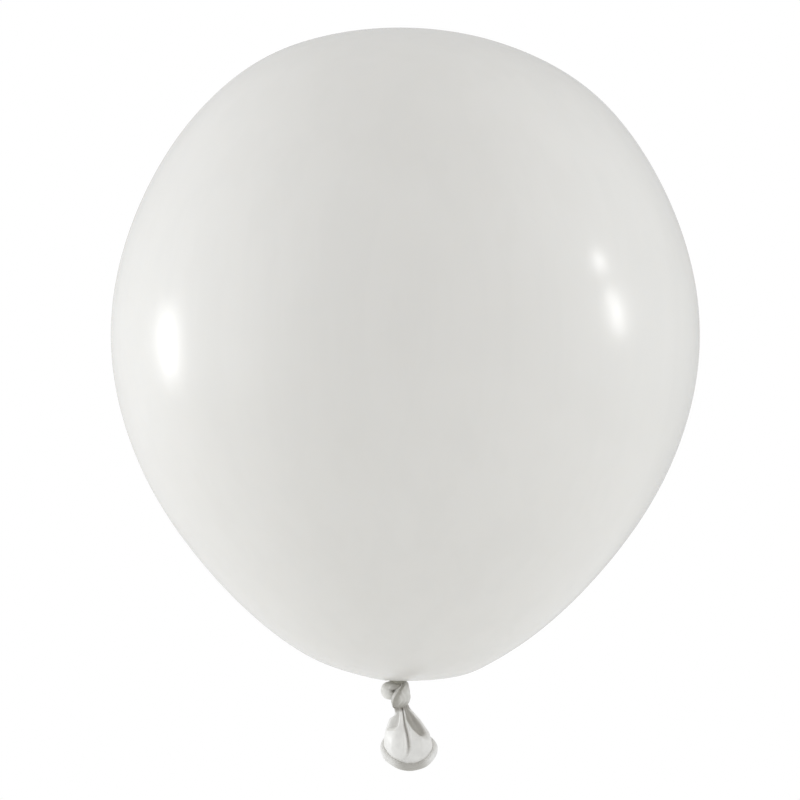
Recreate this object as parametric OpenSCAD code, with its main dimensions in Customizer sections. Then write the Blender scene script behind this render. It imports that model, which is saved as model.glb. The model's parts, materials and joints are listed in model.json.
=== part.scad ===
// Round latex party balloon, inflated and tied off with an overhand knot in its own neck.
// The origin is the throat, where the neck is pinched shut between bulb and knot.
// +Z runs up to the crown, and -Y faces the viewer.

/* [Bulb] */
// Widest diameter of the inflated bulb
bulb_d = 300; // [240:5:320]
// Height of the bulb over its widest diameter
bulb_slimness = 1.112; // [1.05:0.002:1.2]
// How far the crown is fuller than the base
pear = 0.08; // [0:0.01:0.15]
// How far the outline is drawn in halfway to the crown and to the base
waisting = 0.157; // [0:0.001:0.2]
// How far the crown stays fuller close to its top
crown_fullness = 0.076; // [0:0.001:0.15]
// How far the outline is filled out again at the crown and at the base
pole_fullness = 0.165; // [0:0.001:0.2]
// Wall that stands for the stretched film
film_t = 0.3; // [0.25:0.01:0.35]

/* [Throat] */
// Radius where the bulb's film starts to gather into the throat
gather_r = 7; // [6:0.5:10]
// Radius of the pinched throat
throat_r = 3.4; // [2.5:0.1:3.6]
// Height of the bulb's underside above the origin
throat_rise = 1; // [0.8:0.1:2]
// Depth of the pinched throat below the origin
throat_drop = 0.9; // [0.5:0.1:0.9]

/* [Knot] */
// Radius of the rolled-up neck where it runs through the knot
strand_r = 2.6; // [2.2:0.05:2.65]

/* [Tail] */
// Depth of the tail's bending point below the origin
waist_drop = 14; // [13.8:0.1:15]
// Sideways place of the tail's bending point
waist_side = 2.4; // [2:0.1:3]
// Radius of the pinched waist, which turns in both directions
waist_r = 2.8; // [2.5:0.1:2.9]
// Sideways lean of the tail
tail_lean = 9.5; // [0:0.5:15]
// Length of the tail from its bending point to the middle of its mouth
tail_len = 21.5; // [20:0.5:26]
// Radius of the skirt where it leaves the waist
skirt_top_r = 2.7; // [2.3:0.1:2.8]
// Wall of the loose film of the skirt
skirt_t = 0.5; // [0.4:0.05:0.8]
// Number of folds around the skirt
fold_count = 5; // [3:1:7]
// Depth of the folds over the radius of the skirt
fold_depth = 0.16; // [0:0.01:0.2]

/* [Rolled lip] */
// Outside width of the rolled lip
lip_d = 28.7; // [24:0.1:30]
// Thickness of the rolled bead
bead_d = 3.5; // [3:0.1:4]
// Tilt of the mouth, with its front edge hanging low
mouth_tilt = 36; // [20:1:40]

/* [Hidden] */

film_colour = [0.86, 0.85, 0.82];
neck_colour = [0.8, 0.79, 0.75];
lip_colour = [0.74, 0.73, 0.69];

bulb_r = bulb_d / 2;
bulb_half_h = bulb_r * bulb_slimness;
bulb_mid_z = throat_rise + bulb_half_h;
outline_steps = 60;
gather_angle = 180 - asin(gather_r / bulb_r / (1 - pear - waisting - crown_fullness + pole_fullness));
throat_steps = 8;
throat_floor = 0.8;

// Clearance between the waist and the pieces that it turns in
turn_gap = 0.4;
// The neck leaves the throat, swings right and across the front, rises on the left, passes behind
// itself and is tucked down through its own loop.
strand_sides = 20;
strand_steps = 6;
strand_route = [
    [0.4, 0, -1.5], [2.4, -0.8, -4], [4.4, -1.8, -6.6], [2.6, -3.7, -9.1], [-1.8, -2.9, -9.6],
    [-5, -0.2, -7.4], [-5.6, 0.8, -3.6], [-2.4, 2.8, -4.2], [1.4, 3, -5.2], [2, 1.6, -7.8],
    [waist_side, 0, -waist_drop + waist_r + turn_gap]
];
strand_start_r = 1.8;
wrap_end = 4;
bight_end = 7;
core_end = 10;

waist = [waist_side, 0, -waist_drop];
skirt_start = waist_r + turn_gap;
skirt_sides = 40;
skirt_steps = 10;
ring_r = (lip_d - bead_d) / 2;
mouth_reach = tail_len - 0.35 * bead_d;

// A point on the bulb's outline, at an angle down from the crown
function outline(a) =
    let (u = cos(a))
    [bulb_r * sin(a) * (1 + u * (pear + u * (-waisting + u * (crown_fullness + u * pole_fullness)))),
     bulb_mid_z + bulb_half_h * u];

// The same point, moved inwards by a wall thickness
function inside(a, t) =
    let (ahead = outline(a + 0.05), back = outline(a - 0.05), run = ahead - back)
    outline(a) + t * [run[1], -run[0]] / norm(run);

// The throat's outside, from the bulb's film at s = 0 to its pinched end at s = 1
function throat_wall(s) =
    let (top = outline(gather_angle), fall = 1 - sqrt(1 - s * s))
    [top[0] + (throat_r - top[0]) * sqrt(1 - pow(1 - s, 2)), top[1] - (top[1] + throat_drop) * fall];

// A point on a smooth curve through p, where whole numbers of s are its own points
function along(p, s) =
    let (i = min(floor(s), len(p) - 2), f = s - i,
         a = p[max(i - 1, 0)], b = p[i], c = p[i + 1], d = p[min(i + 2, len(p) - 1)])
    (2 * b + (c - a) * f + (2 * a - 5 * b + 4 * c - d) * f * f + (3 * b - a - 3 * c + d) * pow(f, 3)) / 2;

function unit(v) = v / norm(v);

// One ring of points around the neck's route, thinner where it leaves the throat
function strand_ring(s) =
    let (r = strand_start_r + (strand_r - strand_start_r) * min(s, 1),
         run = s < 0.5 ? [0, 0, -1] : s > core_end - 0.5 ? unit([0.2, 0, -1])
             : unit(along(strand_route, s + 0.1) - along(strand_route, s - 0.1)),
         side = unit(cross(run, [0, 1, 0])), up = cross(run, side), mid = along(strand_route, s))
    [for (k = [0 : strand_sides - 1]) let (a = 360 * k / strand_sides)
        mid + r * (cos(a) * side + sin(a) * up)];

// One ring of the skirt, drawn in its own frame with the waist at the origin and the mouth below.
// s runs from 0 at the waist to 1 at the mouth, and t is how far the ring lies inside the film.
function skirt_ring(s, t) =
    let (reach = skirt_start + (mouth_reach - skirt_start) * s,
         r = skirt_top_r + (ring_r - skirt_top_r) * pow(s, 1.15) - t,
         tilt = mouth_tilt * s * s)
    [for (k = [0 : skirt_sides - 1])
        let (a = 360 * k / skirt_sides, rf = r * (1 + fold_depth * sin(180 * s) * cos(fold_count * a)),
             x = rf * cos(a), y = rf * sin(a))
        [x, y * cos(tilt), -reach + y * sin(tilt)]];

// A closed skin through a list of rings with equal numbers of points
module skin(rings) {
    n = len(rings[0]);
    last = len(rings) - 1;
    polyhedron(
        points = [for (ring = rings, point = ring) point],
        faces = concat(
            [[for (k = [0 : n - 1]) k]],
            [for (i = [0 : last - 1], k = [0 : n - 1], half = [0, 1])
                let (a = i * n + k, b = i * n + (k + 1) % n)
                half == 0 ? [a, a + n, b + n] : [a, b + n, b]],
            [[for (k = [n - 1 : -1 : 0]) last * n + k]]
        )
    );
}

// One stretch of the neck through the knot, between two whole numbers along its route
module strand(from, to) {
    steps = strand_steps * (to - from);
    skin([for (i = [0 : steps]) strand_ring(from + i / strand_steps)]);
}

// Puts a shape drawn around the waist in its place, leaning with the tail
module on_tail() {
    translate(waist) rotate([0, -tail_lean, 0]) children();
}

module envelope() {
    angles = [for (i = [0 : outline_steps]) gather_angle * i / outline_steps];
    color(film_colour)
        rotate_extrude($fn = 120)
            polygon(concat(
                [for (a = angles) outline(a)],
                [for (i = [outline_steps : -1 : 1]) inside(angles[i], film_t)],
                [[0, outline(0)[1] - film_t]]
            ));
}

module throat() {
    color(neck_colour)
        rotate_extrude($fn = 60)
            polygon(concat(
                [for (i = [0 : throat_steps]) throat_wall(i / throat_steps)],
                [[0, -throat_drop], [0, -throat_drop + throat_floor]],
                [for (i = [throat_steps - 1 : -1 : 1])
                    let (wall = throat_wall(i / throat_steps), pull = film_t * (1 + 1.5 * i / throat_steps))
                    [wall[0] - 0.5 * pull, max(wall[1] + pull, -throat_drop + throat_floor)]],
                [inside(gather_angle, film_t)]
            ));
}

module knot_wrap() {
    color(neck_colour) strand(0, wrap_end);
}

module knot_bight() {
    color(neck_colour) strand(wrap_end, bight_end);
}

module knot_core() {
    color(neck_colour) strand(bight_end, core_end);
}

module tail_waist() {
    color(neck_colour) translate(waist) sphere(r = waist_r, $fn = 48);
}

module tail_skirt() {
    color(neck_colour)
        on_tail()
            skin(concat(
                [for (i = [0 : skirt_steps]) skirt_ring(i / skirt_steps, 0)],
                [for (i = [skirt_steps : -1 : 1]) skirt_ring(i / skirt_steps, skirt_t)]
            ));
}

module rolled_lip() {
    color(lip_colour)
        on_tail()
            translate([0, 0, -tail_len])
                rotate([mouth_tilt, 0, 0])
                    rotate_extrude($fn = 72)
                        translate([ring_r, 0]) circle(d = bead_d, $fn = 32);
}

envelope();
throat();
knot_wrap();
knot_bight();
knot_core();
tail_waist();
tail_skirt();
rolled_lip();
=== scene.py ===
"""The looks of the latex balloon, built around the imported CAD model. All lengths are in metres."""
import json
import math

import bmesh
import bpy
import numpy as np
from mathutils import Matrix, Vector


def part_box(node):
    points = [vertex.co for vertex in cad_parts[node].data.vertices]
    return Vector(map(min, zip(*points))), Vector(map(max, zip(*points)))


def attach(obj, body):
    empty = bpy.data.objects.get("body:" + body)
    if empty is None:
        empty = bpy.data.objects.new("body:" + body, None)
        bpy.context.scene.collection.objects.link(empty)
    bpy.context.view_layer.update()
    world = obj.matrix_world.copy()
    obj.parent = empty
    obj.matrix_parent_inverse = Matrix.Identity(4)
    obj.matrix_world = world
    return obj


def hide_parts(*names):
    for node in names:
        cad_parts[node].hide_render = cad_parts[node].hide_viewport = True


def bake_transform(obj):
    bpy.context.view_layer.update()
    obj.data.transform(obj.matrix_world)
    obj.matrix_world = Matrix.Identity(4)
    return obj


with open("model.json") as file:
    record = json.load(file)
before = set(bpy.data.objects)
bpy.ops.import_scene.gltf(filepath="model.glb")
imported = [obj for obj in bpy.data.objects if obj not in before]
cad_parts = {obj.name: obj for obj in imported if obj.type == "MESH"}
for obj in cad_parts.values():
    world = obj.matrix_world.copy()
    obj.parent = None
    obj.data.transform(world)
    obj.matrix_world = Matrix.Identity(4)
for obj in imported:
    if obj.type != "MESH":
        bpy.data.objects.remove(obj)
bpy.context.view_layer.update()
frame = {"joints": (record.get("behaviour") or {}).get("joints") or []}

MM = 0.001
TURN = 2 * math.pi


# ---------------------------------------------------------------- places, all from the frame

bulb_low, bulb_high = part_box("envelope")
lip_low, lip_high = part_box("rolled_lip")
pivot = np.array(next(j["pos_m"] for j in frame["joints"] if j["name"] == "tail_nod"))

BULB_R = (bulb_high.x - bulb_low.x) / 2
CROWN_Z = bulb_high.z
lip_centre = np.array((lip_low + lip_high) / 2)
TAIL_LEN = float(np.linalg.norm(lip_centre - pivot))
# The tail's own directions: along it, across it to the right, and away from the camera
down = (lip_centre - pivot) / TAIL_LEN
side = np.array([-down[2], 0, down[0]])
back = np.array([0, 1, 0])
# The bead: half its thickness, its height over its thickness, and the radius of its ring
BEAD_R = 1.72 * MM
BEAD_TALL = 1.32
LIP_R = (lip_high.x - lip_low.x) / 2 / side[0] - BEAD_R


# ---------------------------------------------------------------- camera

CAMERA_LENS = 194
CAMERA_DISTANCE = 2.206
AIM = Vector((0.0013, 0, 0.1443))

camera = bpy.data.objects.new("camera", bpy.data.cameras.new("camera"))
bpy.context.scene.collection.objects.link(camera)
camera.data.sensor_width = 36
camera.data.lens = CAMERA_LENS
camera.location = AIM + Vector((0, -CAMERA_DISTANCE, 0))
camera.rotation_euler = (math.pi / 2, 0, 0)
bpy.context.scene.camera = camera


# ---------------------------------------------------------------- mesh helpers

def smooth(x, low, high):
    """0 below low, 1 above high, and an even S between them."""
    t = np.clip((np.asarray(x, float) - low) / (high - low), 0, 1)
    return t * t * (3 - 2 * t)


def bell(x, centre, reach):
    """A hump of height 1 at centre, which has mostly faded at one reach from it."""
    return math.exp(-((x - centre) / reach) ** 2)


def along(points, s):
    """A point on a smooth curve through points, where whole numbers of s are its own points."""
    p = np.asarray(points, float)
    i = int(min(max(math.floor(s), 0), len(p) - 2))
    f = s - i
    a, b, c, d = p[max(i - 1, 0)], p[i], p[i + 1], p[min(i + 2, len(p) - 1)]
    bend = (2 * a - 5 * b + 4 * c - d) * f * f
    return (2 * b + (c - a) * f + bend + (3 * b - a - 3 * c + d) * f ** 3) / 2


def curve(knots, s):
    """A smooth value at s through (place, value) knots."""
    places = [k[0] for k in knots]
    i = float(np.interp(s, places, range(len(knots))))
    return float(along([k[1] for k in knots], i))


def dip(angle, centre, before, after, power=2.0):
    """A hump of height 1 at an angle in degrees, with its own width on each side."""
    gap = (np.degrees(angle) - centre + 180) % 360 - 180
    width = np.where(gap < 0, before, after)
    return np.exp(-np.abs(gap / width) ** power)


def pleats(angle, count, seed):
    """Uneven ridges round a ring, from 0 in the valleys to 1 on the crests."""
    shift = np.random.default_rng(seed).uniform(0, TURN, 4)
    warped = angle + 0.16 * np.sin(2 * angle + shift[0]) + 0.09 * np.sin(5 * angle + shift[1])
    height = 0.72 + 0.28 * np.sin(3 * angle + shift[2]) * np.sin(4 * angle + shift[3])
    return height * (1 - np.abs(np.sin(count * warped / 2 + shift[0]))) ** 1.6


def store(mesh, name, kind, field, values):
    """Keeps one value or vector for each point of the mesh, for the materials to read."""
    attribute = mesh.attributes.new(name, kind, "POINT")
    attribute.data.foreach_set(field, values.astype(np.float32).ravel())


def piece(name, rings, marks=None, looped=False):
    """A closed skin through rings of equal length, as an object. Its ends are capped, or meet if looped.
    marks gives named floats for each ring's points."""
    rings = np.asarray(rings, float)
    rows, n = rings.shape[:2]
    points = rings.reshape(-1, 3)
    k = np.arange(n)
    k_next = (k + 1) % n
    faces = []
    for i in range(rows if looped else rows - 1):
        low, high = i * n, (i + 1) % rows * n
        faces += np.stack([low + k, low + k_next, high + k_next, high + k], 1).tolist()
    if not looped:
        points = np.concatenate([points, rings[:1].mean(1), rings[-1:].mean(1)])
        first = rows * n
        end = first - n
        faces += [[first, int(b), int(a)] for a, b in zip(k, k_next)]
        faces += [[first + 1, int(end + a), int(end + b)] for a, b in zip(k, k_next)]
    mesh = bpy.data.meshes.new(name)
    mesh.from_pydata(points.tolist(), [], faces)
    bm = bmesh.new()
    bm.from_mesh(mesh)
    bmesh.ops.recalc_face_normals(bm, faces=bm.faces)
    bm.to_mesh(mesh)
    bm.free()
    mesh.shade_smooth()
    mesh.set_sharp_from_angle(angle=math.radians(70))
    store(mesh, "rest", "FLOAT_VECTOR", "vector", points)
    for mark, values in (marks or {}).items():
        values = np.asarray(values, float)
        if not looped:
            values = np.concatenate([values.ravel(), values[0, :1], values[-1, :1]])
        store(mesh, mark, "FLOAT", "value", values)
    obj = bpy.data.objects.new(name, mesh)
    bpy.context.scene.collection.objects.link(obj)
    return obj


# ---------------------------------------------------------------- the bulb and the throat

# The outline's shape numbers are the CAD model's own. WIDEST is about how wide they make a bulb of radius 1.
PEAR, WAISTING, CROWN_FULLNESS, POLE_FULLNESS = 0.08, 0.157, 0.076, 0.165
WIDEST = 1.0022
# How much lower the crown is than the CAD model's
CROWN_DROP = 0.4 * MM
# The bulb's underside above the origin, and the radius and bottom of the throat
THROAT_RISE = 1.0 * MM
THROAT_R = 3.3 * MM
THROAT_END = -2.2 * MM
# How sharply the underside turns down into the throat
THROAT_TURN = 2.2
HALF_H = (CROWN_Z - CROWN_DROP - THROAT_RISE) / 2
# Film added to the outline round the throat, which fades upwards
FOOT = 4.4 * MM
FOOT_REACH = 9.5 * MM
# Film added to the lower flank, and where it is
FLANK = 1.5 * MM
FLANK_RISE = 84 * MM
FLANK_REACH = 45 * MM
# The bulb leans a little off the knot, its crown leans back, and its heel is fuller on the right.
LEAN = 4.0 * MM
LEAN_REACH = 9 * MM
CROWN_SHIFT = 2.8 * MM
# The ring radii between which the crown's shift fades out
CROWN_SHIFT_R = 52 * MM, 106 * MM
HEEL = 3.0 * MM
HEEL_R = 27 * MM
HEEL_REACH = 14 * MM
# The puckers round the throat: their number, their depth, how far out they reach, and the height below
# which there are any
PUCKERS = 17
PUCKER = 0.42 * MM
PUCKER_REACH = 8 * MM
PUCKER_TOP = 40 * MM
# The ring radii between which the throat's wall turns into the bulb's underside
UNDERSIDE_R = 3.6 * MM, 7 * MM


def outline(a):
    """The bulb's radius and height at an angle down from the crown."""
    u = math.cos(a)
    swell = 1 + u * (PEAR + u * (-WAISTING + u * (CROWN_FULLNESS + u * POLE_FULLNESS)))
    rise = HALF_H * (1 + u)
    foot = FOOT * math.exp(-rise / FOOT_REACH)
    flank = FLANK * bell(rise, FLANK_RISE, FLANK_REACH)
    r = (BULB_R / WIDEST * swell + flank) * math.sin(a) + foot
    return r, THROAT_RISE + rise


def sideways(r, upper):
    """How far a ring of the bulb sits to the right of the throat."""
    if upper:
        return LEAN - CROWN_SHIFT * (1 - float(smooth(r, *CROWN_SHIFT_R)))
    return LEAN * (1 - bell(r, THROAT_R, LEAN_REACH)) + HEEL * bell(r, HEEL_R, HEEL_REACH)


def bulb_ring(shift, r, z, angle):
    """A ring round the bulb's axis, puckered where it comes near the throat."""
    near = bell(r, THROAT_R, PUCKER_REACH) if z < PUCKER_TOP else 0.0
    pucker = PUCKER * near * (pleats(angle, PUCKERS, 3) - 0.35)
    # Under the bulb the puckers are in its height, and in the throat they are in its radius.
    under = smooth(r, *UNDERSIDE_R)
    r = r + pucker * (1 - under)
    return np.stack([shift + r * np.cos(angle), r * np.sin(angle), z - pucker * under], 1)


def bulb_skin():
    """The bulb from its crown down, and the throat below it, as one skin."""
    angle = np.linspace(0, TURN, 360, endpoint=False)
    # Degrees down from the crown, in smaller steps near the throat
    falls = np.concatenate([np.linspace(0.6, 168, 190), np.linspace(168.6, 177.4, 40)])
    rings = []
    for fall in falls:
        r, z = outline(math.radians(fall))
        rings.append(bulb_ring(sideways(r, fall < 90), r, z, angle))
    edge_shift = sideways(r, False)
    for t in np.linspace(0.05, 1, 22):
        inward = math.sin(t * math.pi / 2)
        lower = z - (z - THROAT_END) * (1 - math.cos(t * math.pi / 2)) ** THROAT_TURN
        rings.append(bulb_ring(edge_shift * (1 - inward), r + (THROAT_R - r) * inward, lower, angle))
    return piece("bulb_skin", rings)


# ---------------------------------------------------------------- the knot

STRAND_RINGS = 84
STRAND_POINTS = 128
# The share of a strand's length over which each end rounds off, and its size at the very end
STRAND_END = 0.07
STRAND_END_SIZE = 0.25


def creases(angle, place, count, seed):
    """Uneven folds that wander round a strand as it runs, from 0 in the valleys to 1 on the crests."""
    shift = np.random.default_rng(seed).uniform(0, TURN, 5)
    wander = 0.34 * math.sin(2.1 * place + shift[0])
    warped = angle + wander + 0.2 * np.sin(2 * angle + 1.3 * place + shift[1])
    crest = (1 - np.abs(np.sin(count * warped / 2 + shift[2]))) ** 1.5
    patch = 0.5 + 0.5 * np.sin(3 * angle + 1.7 * place + shift[3]) * math.sin(1.9 * place + shift[4])
    return crest * (0.3 + 0.7 * patch)


def swept(name, route, widths, middle, folds, seed, relief=0.06, rim=0.0, inside=0.0, dark=None):
    """A strand of rolled-up film along a route in mm, laid round a middle point.
    widths gives its half-sizes across and away from the middle, relief the share its folds stand out,
    rim the height of a rolled edge, inside how much shade is painted on the side towards the middle,
    and dark how much shade is painted on the whole strand at each point of its route."""
    route = np.asarray(route, float)
    last = len(route) - 1
    dark = dark or [0] * (last + 1)
    angle = np.linspace(0, TURN, STRAND_POINTS, endpoint=False)
    edge = dip(angle, 24, 10, 9)
    groove = dip(angle, 47, 12, 16)
    rings = []
    marks = []
    for s in np.linspace(0, last, STRAND_RINGS):
        mid = along(route, s)
        run = along(route, min(s + 0.05, last)) - along(route, max(s - 0.05, 0))
        run /= np.linalg.norm(run)
        out = mid - np.asarray(middle, float)
        out -= run * (out @ run)
        out /= np.linalg.norm(out)
        across = np.cross(run, out)
        wide, thick = along(widths, s)
        fold = creases(angle, s, folds, seed)
        end = min(min(s, last - s) / (STRAND_END * last), 1)
        rounded = STRAND_END_SIZE + (1 - STRAND_END_SIZE) * math.sqrt(end * (2 - end))
        grow = (1 + relief * (fold - 0.5)) * rounded
        roll = rim * end * (edge - 0.7 * groove)
        flat = (np.cos(angle) * wide * grow)[:, None] * across
        rings.append(mid + flat + (np.sin(angle) * thick * grow + roll)[:, None] * out)
        # Painted shade: in the creases' valleys, in the groove behind the rolled edge, on the side towards
        # the middle, and where dark asks
        shade = inside * dip(angle, 270, 75, 75, 3) + np.interp(s, range(last + 1), dark)
        marks.append(0.13 * (1 - fold) + 0.8 * rim * groove + shade)
    return piece(name, np.array(rings) * MM, {"fold": marks})


def knot_pieces():
    """The knot's three visible turns: a loop to the left, a wide turn in front, and the rest behind."""
    # inside and dark paint shade on the strands: in the recess by the loop, near the throat and under the
    # wrap
    loop = swept(
        "knot_bight_skin",
        [(2.6, -0.4, -7.2), (-1.4, -1.3, -7.1), (-4.7, -1.1, -5.9), (-5.5, -0.9, -3.5), (-3.4, -1.2, -2.1),
         (0.4, -2.0, -2.2), (2.8, -0.6, -3.2)],
        [(2.0, 1.6), (2.4, 1.9), (3.2, 2.8), (3.4, 3.0), (2.8, 2.4), (2.1, 2.0), (1.8, 1.6)],
        middle=(-1.9, 0.4, -4.5), folds=7, seed=11, relief=0.035, inside=0.17,
        dark=[0.3, 0.3, 0, 0, 0.15, 0.6, 0.6],
    )
    wrap = swept(
        "knot_wrap_skin",
        [(3.3, 0.5, 0.1), (3.6, -1.8, -2.6), (2.8, -3.2, -5.7), (1.7, -3.4, -8.5), (1.3, -2.4, -11.0),
         (1.6, 0.6, -11.2), (2.5, 1.4, -8.8)],
        [(2.5, 1.6), (2.9, 1.9), (4.6, 2.2), (5.0, 2.3), (4.3, 2.1), (3.2, 1.9), (2.2, 1.8)],
        middle=(0.6, 0.8, -6.0), folds=11, seed=23, relief=0.07, rim=0.55,
        dark=[0.14, 0.16, 0.2, 0.26, 0.5, 0.5, 0.5],
    )
    rest = swept(
        "knot_core_skin",
        [(-3.4, 1.8, -3.2), (-0.6, 2.6, -3.2), (2.9, 2.5, -5.0), (4.1, 1.2, -7.6), (3.2, 0.1, -10.2),
         (2.5, 0.0, -11.2)],
        [(2.6, 2.1), (3.1, 2.5), (3.1, 2.6), (2.9, 2.6), (2.8, 2.5), (2.4, 2.3)],
        middle=(0.0, 0.0, -6.4), folds=10, seed=31, inside=0.5,
    )
    return loop, wrap, rest


# ---------------------------------------------------------------- the tail and its rolled lip

MOUTH_TILT = math.radians(36)
# How much higher the mouth's left and right ends are than its front and back
SADDLE = 1.0 * MM
# How much lower the right end of the mouth hangs than its middle
DROOP = 1.6 * MM
FILM_T = 0.38 * MM
# The least distance of the gathered film from the tail's axis, in mm
LEAST_R = 0.25
# Where the waist starts inside the knot. The tail runs from s = 0 at its pivot to s = 1 at the lip.
WAIST_TOP = -0.2
TAIL_POINTS = 432
WAIST_RINGS = 24
SKIRT_RINGS = 110
# The ring of the skirt below which it is hollow
POCKET_END = 12
LIP_POINTS = 56
LIP_RINGS = 300
# Half-sizes of the gathered film in mm, from inside the knot to the lip
RIGHT = [(-0.2, 3.0), (-0.08, 3.5), (0.0, 4.0), (0.1, 5.4), (0.2, 6.9), (0.35, 9.0), (0.5, 10.6),
         (0.65, 11.7), (0.8, 12.3), (1, 12.6)]
LEFT = [(-0.2, 3.0), (-0.08, 3.8), (0.0, 3.8), (0.1, 4.3), (0.18, 7.2), (0.3, 8.9), (0.45, 10.4),
        (0.6, 11.3), (0.8, 12.1), (1, 12.6)]
FRONT = [(-0.2, 2.6), (0.0, 3.5), (0.2, 5.8), (0.4, 8.4), (0.6, 10.3), (0.8, 11.7), (1, 12.6)]
BACK = [(-0.2, 2.6), (0.0, 3.3), (0.2, 5.0), (0.4, 7.2), (0.6, 9.4), (0.8, 11.4), (1, 12.6)]
# Each valley along the tail: its two edges in degrees, how flat its floor is, how much shade is painted in
# it, and its depth as a share of the film's radius.
# Angles run from the right (0) over the back (90) and the left (180) to the front (270).
VALLEYS = {
    "crease": {
        "first": [(-0.2, 262), (0.06, 267), (0.2, 265), (0.34, 264), (0.52, 267), (0.73, 265), (0.84, 258),
                  (1, 246)],
        "second": [(-0.2, 276), (0.06, 281), (0.2, 279), (0.34, 279), (0.52, 281), (0.73, 279), (0.84, 272),
                   (1, 260)],
        "flatness": 1.5,
        "shade": 0.32,
        "depth": [(-0.2, 0.25), (0.0, 0.38), (0.2, 0.4), (0.5, 0.36), (0.75, 0.28), (0.9, 0.1), (1, 0)],
    },
    "hollow": {
        "first": [(-0.2, 290), (0.1, 290), (0.22, 286), (0.34, 291), (0.45, 299), (0.57, 312), (0.68, 330),
                  (1, 335)],
        "second": [(-0.2, 340), (0.05, 348), (0.3, 356), (0.48, 358), (0.58, 356), (0.68, 350), (1, 348)],
        "flatness": 4.0,
        "shade": 0.62,
        "depth": [(-0.2, 0.2), (0.0, 0.34), (0.12, 0.44), (0.25, 0.46), (0.38, 0.42), (0.5, 0.38),
                  (0.6, 0.28), (0.67, 0.06), (0.72, 0), (1, 0)],
    },
    "shoulder": {
        "first": [(-0.2, 198), (0.2, 198), (0.4, 192), (1, 192)],
        "second": [(-0.2, 242), (0.2, 242), (0.4, 236), (1, 236)],
        "flatness": 3.0,
        "shade": 0.26,
        "depth": [(-0.2, 0.15), (0.0, 0.3), (0.12, 0.46), (0.28, 0.48), (0.35, 0.4), (0.39, 0.12), (0.42, 0),
                  (1, 0)],
    },
    "back_right": {
        "first": [(-0.2, 32), (1, 24)],
        "second": [(-0.2, 65), (1, 57)],
        "flatness": 1.7,
        "shade": 0.4,
        "depth": [(-0.2, 0.15), (0.0, 0.35), (0.3, 0.42), (0.6, 0.22), (0.9, 0.03), (1, 0)],
    },
    "back": {
        "first": [(-0.2, 84), (1, 92)],
        "second": [(-0.2, 109), (1, 117)],
        "flatness": 1.5,
        "shade": 0.4,
        "depth": [(-0.2, 0.15), (0.0, 0.3), (0.3, 0.38), (0.7, 0.22), (0.95, 0.02), (1, 0)],
    },
    "back_left": {
        "first": [(-0.2, 133), (1, 127)],
        "second": [(-0.2, 158), (1, 152)],
        "flatness": 1.6,
        "shade": 0.4,
        "depth": [(-0.2, 0.1), (0.0, 0.3), (0.25, 0.36), (0.55, 0.18), (0.85, 0.02), (1, 0)],
    },
}
# The share of the radius at which a valley's painted shade is at its darkest, and the most that valleys take
# away
DARKEST_DEPTH = 0.26
DEEPEST = 0.72
# Painted shade on the pinch under the knot, and on the right of the front, which gets less light
WAIST_SHADE = 0.62
RIGHT_SHADE = 0.28


def tail_ring(s, angle, inset=0.0):
    """One ring of the gathered film, and the shade painted on each of its points: in its folds, under the
    knot and on the right.
    """
    cos, sin = np.cos(angle), np.sin(angle)
    wide = np.where(cos > 0, curve(RIGHT, s), curve(LEFT, s))
    deep = np.where(sin < 0, curve(FRONT, s), curve(BACK, s))
    r = 1 / np.sqrt((cos / wide) ** 2 + (sin / deep) ** 2)
    sunk = np.zeros_like(angle)
    # Painted shade: on the pinch under the knot, on the right of the front, and in each valley as deep as it
    # is
    dark = np.maximum(WAIST_SHADE * (1 - smooth(s, -0.04, 0.12)), RIGHT_SHADE * dip(angle, 320, 42, 42))
    for valley in VALLEYS.values():
        first, second = curve(valley["first"], s), curve(valley["second"], s)
        middle, half = (first + second) / 2, (second - first) / 2
        depth = curve(valley["depth"], s) * dip(angle, middle, half, half, valley["flatness"])
        sunk = sunk + depth
        dark = np.maximum(dark, valley["shade"] * np.minimum(depth / DARKEST_DEPTH, 1))
    fine = 0.055 * (1 - smooth(s, 0.0, 0.5)) * (pleats(angle + 0.3 * s, 31, 5) - 0.3)
    fine = fine + 0.018 * math.sin(math.pi * min(max(s, 0), 1)) * np.sin(9 * angle + 5 * s)
    r = r * (1 - np.minimum(sunk, DEEPEST) + fine) - inset / MM
    r = np.maximum(r, LEAST_R) * MM
    tilt = MOUTH_TILT * max(s, 0) ** 2
    reach = TAIL_LEN * s + (DROOP * cos - SADDLE * cos ** 2) * max(s, 0) ** 3 - r * sin * math.sin(tilt)
    across = (r * cos)[:, None] * side + (r * sin * math.cos(tilt))[:, None] * back
    return pivot + reach[:, None] * down + across, dark


def tail_skin(name, rings):
    """A skin through tail rings, each given as its points and their marks."""
    return piece(name, [points for points, dark in rings], {"fold": [dark for points, dark in rings]})


def tail_pieces():
    """The pinched waist, which is solid, and the skirt, whose skin turns back up inside it."""
    angle = np.linspace(0, TURN, TAIL_POINTS, endpoint=False)
    waist = [tail_ring(s, angle) for s in np.linspace(WAIST_TOP, 0, WAIST_RINGS)]
    places = np.linspace(0, 1, SKIRT_RINGS)
    outer = [tail_ring(s, angle) for s in places]
    inner = [tail_ring(s, angle, FILM_T) for s in places[:POCKET_END:-1]]
    return tail_skin("tail_waist_skin", waist), tail_skin("tail_skirt_skin", outer + inner)


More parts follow.
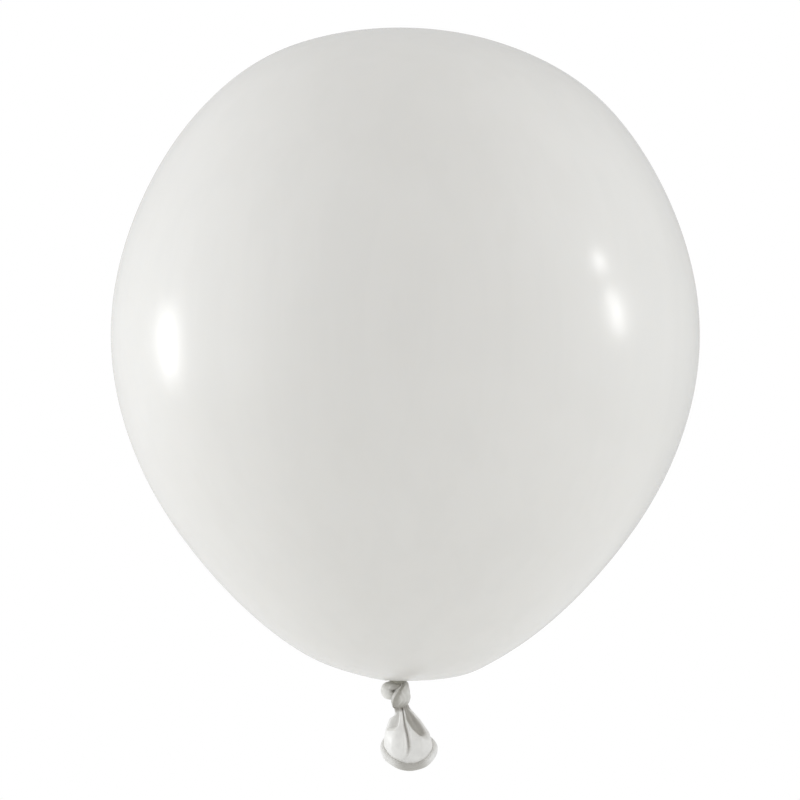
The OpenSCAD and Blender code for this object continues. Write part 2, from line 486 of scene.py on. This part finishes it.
def rolled_lip():
    """The rolled edge: a bead round the mouth, with the end of the roll showing as a shallow step."""
    section = np.linspace(0, TURN, LIP_POINTS, endpoint=False)
    axis = -(down * math.cos(MOUTH_TILT) + back * math.sin(MOUTH_TILT))
    rings = []
    marks = []
    for a in np.linspace(0, TURN, LIP_RINGS, endpoint=False):
        c, s = math.cos(a), math.sin(a)
        out = side * c + back * s * math.cos(MOUTH_TILT) - down * s * math.sin(MOUTH_TILT)
        wave = 1 + 0.012 * math.sin(3 * a + 0.6) + 0.008 * math.sin(7 * a + 2)
        mid = pivot + down * (TAIL_LEN + DROOP * c - SADDLE * c * c) + out * LIP_R * wave
        thick = BEAD_R * (1 + 0.05 * math.sin(2 * a + 1) + 0.02 * math.sin(11 * a))
        step = 0.11 * dip(section, 205 + 14 * math.sin(2 * a), 9, 9)
        fine = 1 + 0.012 * np.sin(9 * section + 0.5 * math.sin(a)) + 0.01 * np.sin(41 * a + 3 * section)
        r = thick * (1 - step) * fine
        flat = (r * np.cos(section))[:, None] * out
        rings.append(mid + flat + (BEAD_TALL * r * np.sin(section))[:, None] * axis)
        # Painted shade: in the step where the roll ends, and on the bead's front, where it faces down and
        # gets less light.
        front = max(-s, 0) ** 4
        marks.append(3 * step + 0.75 * front)
    return piece("rolled_lip_skin", rings, {"fold": marks}, looped=True)


# ---------------------------------------------------------------- materials

class Nodes:
    """A node tree under construction. Values are numbers, colours of three numbers, or sockets."""

    def __init__(self, tree):
        self.tree = tree

    def node(self, kind, **settings):
        made = self.tree.nodes.new(kind)
        for key, value in settings.items():
            setattr(made, key, value)
        return made

    def link(self, a, b):
        self.tree.links.new(a, b)

    def fill(self, socket, value):
        """Sets a socket to a number or a colour, or links another socket to it."""
        if isinstance(value, (int, float)):
            socket.default_value = value
        elif isinstance(value, tuple):
            socket.default_value = (*value, 1)
        else:
            self.link(value, socket)

    def maths(self, operation, a, b):
        made = self.node("ShaderNodeMath", operation=operation)
        for socket, value in zip(made.inputs, (a, b)):
            self.fill(socket, value)
        return made.outputs[0]

    def mix(self, factor, a, b):
        made = self.node("ShaderNodeMix", data_type="RGBA")
        self.link(factor, made.inputs["Factor"])
        colours = [s for s in made.inputs if s.type == "RGBA"]
        for socket, value in zip(colours, (a, b)):
            self.fill(socket, value)
        return next(s for s in made.outputs if s.type == "RGBA")

    def spread(self, value, low, high, to_low=0.0, to_high=1.0, steps="SMOOTHSTEP"):
        made = self.node("ShaderNodeMapRange", interpolation_type=steps)
        for socket, number in zip(made.inputs[1:5], (low, high, to_low, to_high)):
            socket.default_value = number
        self.link(value, made.inputs["Value"])
        return made.outputs["Result"]


class Shader(Nodes):
    """A material under construction, with what latex needs. Its textures are fixed to the rest shape."""

    def __init__(self, name):
        self.material = bpy.data.materials.new(name)
        self.material.use_nodes = True
        super().__init__(self.material.node_tree)
        self.bsdf = self.tree.nodes["Principled BSDF"]
        self.rest = self.attribute("rest", "Vector")

    def attribute(self, name, output):
        return self.node("ShaderNodeAttribute", attribute_name=name).outputs[output]

    def noise(self, scale, detail, stretch=(1, 1, 1)):
        mapping = self.node("ShaderNodeMapping")
        mapping.inputs["Scale"].default_value = stretch
        self.link(self.rest, mapping.inputs["Vector"])
        made = self.node("ShaderNodeTexNoise")
        made.inputs["Scale"].default_value = scale
        made.inputs["Detail"].default_value = detail
        made.inputs["Roughness"].default_value = 0.55
        self.link(mapping.outputs["Vector"], made.inputs["Vector"])
        return made.outputs["Fac"]

    def distance(self, point):
        made = self.node("ShaderNodeVectorMath", operation="DISTANCE")
        self.link(self.rest, made.inputs[0])
        made.inputs[1].default_value = point
        return made.outputs["Value"]

    def bump(self, height, distance, strength, under=None):
        made = self.node("ShaderNodeBump")
        made.inputs["Strength"].default_value = strength
        made.inputs["Distance"].default_value = distance
        self.link(height, made.inputs["Height"])
        if under is not None:
            self.link(under, made.inputs["Normal"])
        return made.outputs["Normal"]


LATEX_IOR = 1.52


def stretched_film():
    """The bulb: taut, thin and satin-glossy, a little denser at the crown, with shadow painted round the
    throat.
    """
    m = Shader("stretched_latex")
    dense = m.mix(m.spread(m.noise(9, 4), 0.3, 0.7), (0.733, 0.719, 0.685), (0.753, 0.739, 0.706))
    streak = m.spread(m.noise(60, 3, (1, 1, 0.08)), 0.42, 0.62)
    base = m.mix(m.maths("MULTIPLY", streak, 0.25), dense, (0.710, 0.698, 0.666))
    from_crown = m.distance((LEAN - CROWN_SHIFT, 0, CROWN_Z))
    base = m.mix(m.spread(from_crown, 0.021, 0.034, 0.8, 0), base, (0.665, 0.655, 0.625))
    # Painted shadow round the throat, where the knot and the bulb's underside shade it
    from_throat = m.distance((0, 0, 0))
    base = m.mix(m.spread(from_throat, 0.005, 0.012, 0.9, 0), base, (0.30, 0.29, 0.235))
    m.link(base, m.bsdf.inputs["Base Color"])
    m.link(m.spread(m.noise(35, 4), 0.3, 0.7, 0.2, 0.25), m.bsdf.inputs["Roughness"])
    ripple = m.bump(m.noise(120, 2), 0.00004, 0.4)
    m.link(m.bump(m.noise(1500, 2), 0.00002, 0.35, ripple), m.bsdf.inputs["Normal"])
    m.bsdf.inputs["IOR"].default_value = LATEX_IOR
    m.bsdf.inputs["Subsurface Weight"].default_value = 0.25
    m.bsdf.inputs["Subsurface Radius"].default_value = (1.0, 0.92, 0.8)
    m.bsdf.inputs["Subsurface Scale"].default_value = 0.02
    return m.material


def gathered_film(name, pale, deep, rough):
    """Slack film: denser, warmer and duller than the taut film, with fine creases, and shade painted into
    its folds and shaded parts.
    """
    m = Shader(name)
    # The fold mark is painted shade: where it is high, the colour turns towards deep, in folds, hollows and
    # shaded places
    fold = m.attribute("fold", "Fac")
    patch = m.mix(m.spread(m.noise(260, 4), 0.3, 0.72), pale, tuple(0.93 * c for c in pale))
    base = m.mix(m.spread(fold, 0.1, 0.66, 0, 0.85), patch, deep)
    m.link(base, m.bsdf.inputs["Base Color"])
    m.link(m.spread(m.noise(500, 4), 0.3, 0.7, rough - 0.05, rough + 0.07), m.bsdf.inputs["Roughness"])
    crease = m.bump(m.noise(900, 3, (1, 1, 0.22)), 0.00012, 0.5)
    m.link(m.bump(m.noise(4200, 2), 0.00003, 0.5, crease), m.bsdf.inputs["Normal"])
    m.bsdf.inputs["IOR"].default_value = LATEX_IOR
    return m.material


# ---------------------------------------------------------------- put together

def finished(obj, material, slot, *nodes):
    """Gives a skin its material, in place of the CAD nodes it stands for, which it hides. Its slot is not
    used.
    """
    obj.data.materials.append(material)
    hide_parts(*nodes)


neck_latex = gathered_film("gathered_latex", (0.765, 0.755, 0.72), (0.34, 0.325, 0.285), 0.34)
tail_latex = gathered_film("tail_latex", (0.82, 0.81, 0.78), (0.27, 0.25, 0.215), 0.34)
bead_latex = gathered_film("bead_latex", (0.74, 0.73, 0.70), (0.40, 0.385, 0.35), 0.38)

bulb = bulb_skin()
finished(bulb, stretched_film(), "stretched_film", "envelope", "throat")
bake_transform(bulb)

for strand, node in zip(knot_pieces(), ("knot_bight", "knot_wrap", "knot_core")):
    finished(strand, neck_latex, "gathered_film", node)
    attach(strand, "knot")

waist_skin, skirt_skin = tail_pieces()
finished(waist_skin, tail_latex, "gathered_film", "tail_waist")
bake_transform(waist_skin)
finished(skirt_skin, tail_latex, "tail_film", "tail_skirt")
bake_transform(skirt_skin)

lip_skin = rolled_lip()
finished(lip_skin, bead_latex, "rolled_bead", "rolled_lip")
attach(lip_skin, "tail")


# ---------------------------------------------------------------- floor, light and surroundings

FLOOR_R = 2.1
FLOOR_DROP = 0.28
FLOOR_COLOUR = (0.9, 0.9, 0.89)
LIGHT_DISTANCE = 1.5
# Each light: where it glints on the bulb, as shares of the bulb's radius to the right and up from its
# middle, its width and height in metres, its power in watts, and its turn in degrees
LIGHTS = {
    "left_softbox": (-0.773, -0.03, 0.19, 0.33, 1.8, 0),
    "left_glow": (-0.773, -0.03, 0.34, 0.56, 1.4, 0),
    "right_strip": (0.680, 0.072, 0.10, 0.32, 1.7, 14),
    "right_small": (0.625, 0.228, 0.09, 0.09, 0.62, 0),
}


def pale_floor():
    """A round pale floor below the balloon, which fades out into the white surroundings."""
    mesh = bpy.data.meshes.new("floor")
    bm = bmesh.new()
    bmesh.ops.create_circle(bm, cap_ends=True, segments=96, radius=FLOOR_R)
    bm.to_mesh(mesh)
    bm.free()
    floor = bpy.data.objects.new("floor", mesh)
    floor.location = (0, 0, lip_low.z - FLOOR_DROP)
    bpy.context.scene.collection.objects.link(floor)
    material = bpy.data.materials.new("floor")
    material.use_nodes = True
    n = Nodes(material.node_tree)
    bsdf = n.tree.nodes["Principled BSDF"]
    bsdf.inputs["Base Color"].default_value = (*FLOOR_COLOUR, 1)
    bsdf.inputs["Roughness"].default_value = 0.8
    bsdf.inputs["Emission Color"].default_value = (1, 1, 1, 1)
    bsdf.inputs["Emission Strength"].default_value = 0.05
    length = n.node("ShaderNodeVectorMath", operation="LENGTH")
    n.link(n.node("ShaderNodeTexCoord").outputs["Object"], length.inputs[0])
    n.link(n.spread(length.outputs["Value"], 1.0, 2.05, 1.0, 0.0, "LINEAR"), bsdf.inputs["Alpha"])
    floor.data.materials.append(material)


def soft_light(name, spot, towards, width, height, power, turn):
    """An area light that shows in gloss, and not to the camera. spot and towards are points."""
    data = bpy.data.lights.new(name, "AREA")
    data.shape = "RECTANGLE"
    data.size, data.size_y = width, height
    data.energy = power
    light = bpy.data.objects.new(name, data)
    bpy.context.scene.collection.objects.link(light)
    light.location = spot
    light.rotation_euler = (Vector(towards) - Vector(spot)).to_track_quat("-Z", "Y").to_euler()
    light.rotation_euler.rotate_axis("Z", turn)
    light.visible_camera = False


def studio():
    """White surroundings, brighter and cooler at the sides than in front of the balloon.
    The camera itself sees them as plain white."""
    world = bpy.data.worlds.new("studio")
    bpy.context.scene.world = world
    world.use_nodes = True
    n = Nodes(world.node_tree)
    shade = n.tree.nodes["Background"]
    xyz = n.node("ShaderNodeSeparateXYZ")
    n.link(n.node("ShaderNodeTexCoord").outputs["Generated"], xyz.inputs[0])
    x, y, z = xyz.outputs
    x_squared = n.maths("MULTIPLY", x, x)
    sides = n.maths("MULTIPLY", x_squared, 0.8)
    ends = n.maths("MULTIPLY", n.maths("MULTIPLY", z, z), 0.3)
    dim_sides = n.maths("MULTIPLY", n.maths("ABSOLUTE", x, 0.0), 0.36)
    dimmer = n.maths("ADD", dim_sides, n.maths("MULTIPLY", x, 0.2))
    behind = n.maths("MULTIPLY", n.maths("MAXIMUM", y, 0.0), dimmer)
    tilt = n.maths("ADD", n.maths("MULTIPLY", x, 0.06), n.maths("MULTIPLY", z, 0.18))
    slope = n.maths("SUBTRACT", n.maths("MULTIPLY", z, 0.2), 0.06)
    corner = n.maths("MULTIPLY", n.maths("MAXIMUM", x, 0.0), slope)
    lifted = n.maths("ADD", n.maths("ADD", sides, ends), n.maths("ADD", corner, 0.67))
    level = n.maths("SUBTRACT", lifted, n.maths("ADD", behind, tilt))
    seen = n.node("ShaderNodeLightPath").outputs["Is Camera Ray"]
    unseen = n.maths("SUBTRACT", 1.0, seen)
    n.link(n.maths("ADD", n.maths("MULTIPLY", level, unseen), seen), shade.inputs["Strength"])
    cool = n.mix(n.maths("MULTIPLY", x_squared, unseen), (1.0, 1.0, 1.0), (0.968, 1.0, 1.04))
    n.link(cool, shade.inputs["Color"])


def mirrored(px, pz):
    """Where a light has to stand to glint at a point of the bulb, seen from the camera, and that point.
    px and pz are shares of the bulb's radius, to the right and up from its middle."""
    middle = np.array([LEAN, 0, THROAT_RISE + HALF_H])
    normal = np.array([px, -math.sqrt(1 - px * px - pz * pz), pz])
    glint = middle + BULB_R * normal
    view = np.array(camera.location) - glint
    view /= np.linalg.norm(view)
    out = 2 * (normal @ view) * normal - view
    return glint + out * LIGHT_DISTANCE, glint


pale_floor()
studio()
for name, (px, pz, width, height, power, turn) in LIGHTS.items():
    soft_light(name, *mirrored(px, pz), width, height, power, math.radians(turn))
bpy.context.scene.view_settings.view_transform = "Standard"
